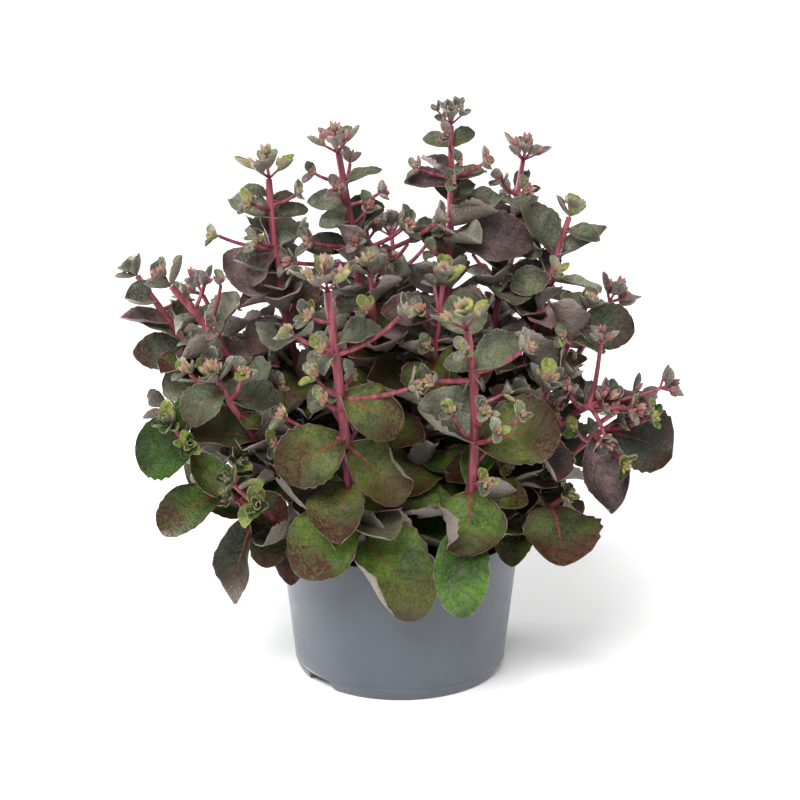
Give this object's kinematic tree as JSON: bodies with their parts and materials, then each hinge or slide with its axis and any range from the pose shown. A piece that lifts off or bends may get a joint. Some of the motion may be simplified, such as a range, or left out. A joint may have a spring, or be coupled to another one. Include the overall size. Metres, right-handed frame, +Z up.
{
  "type": "potted stonecrop plant",
  "caption": "Round tapered nursery pot filled with soil, with upright leafy stems of fleshy toothed leaves that end in heads of small buds.",
  "frame": {"origin": "on the surface that the pot stands on, at the axis of the pot, in the middle of the flat boss under it", "axes": "+Z up along the pot's axis; -Y is the front, the side that the picture shows; +X is to the right seen from the front"},
  "size_m": [0.385, 0.308, 0.3982],
  "materials": {
    "pot": "satin",
    "soil": "matte",
    "foliage_upper": "satin",
    "foliage_middle": "satin",
    "foliage_lower": "satin"
  },
  "bodies": {
    "root": {"pot": "pot", "soil": "soil", "stem_front_left": "foliage_upper", "stem_front_right": "foliage_upper", "stem_centre_left": "foliage_upper", "stem_centre_tall": "foliage_upper", "stem_centre_right": "foliage_upper", "stem_right_back": "foliage_upper", "stem_right_middle": "foliage_upper", "stem_right_front": "foliage_middle", "stem_right_wide": "foliage_middle", "stem_right_low": "foliage_lower", "stem_right_hanging": "foliage_lower", "stem_left_tall": "foliage_upper", "stem_left_upper": "foliage_upper", "stem_far_left": "foliage_upper", "stem_left_front": "foliage_middle", "stem_left_green": "foliage_middle", "stem_left_yellow": "foliage_lower", "stem_left_low": "foliage_lower", "stem_centre_front": "foliage_upper", "stem_centre_middle": "foliage_upper", "stem_back_left": "foliage_upper", "stem_back_middle": "foliage_upper", "stem_back_right": "foliage_upper", "stem_back_far_right": "foliage_middle", "stem_back_far_left": "foliage_middle", "stem_back_lower_left": "foliage_middle", "stem_back_lower_right": "foliage_middle", "stem_back_centre": "foliage_upper", "stem_right_side": "foliage_lower", "stem_left_side": "foliage_lower", "stem_back_hanging_left": "foliage_lower", "stem_back_hanging_right": "foliage_lower"}
  },
  "joints": []
}
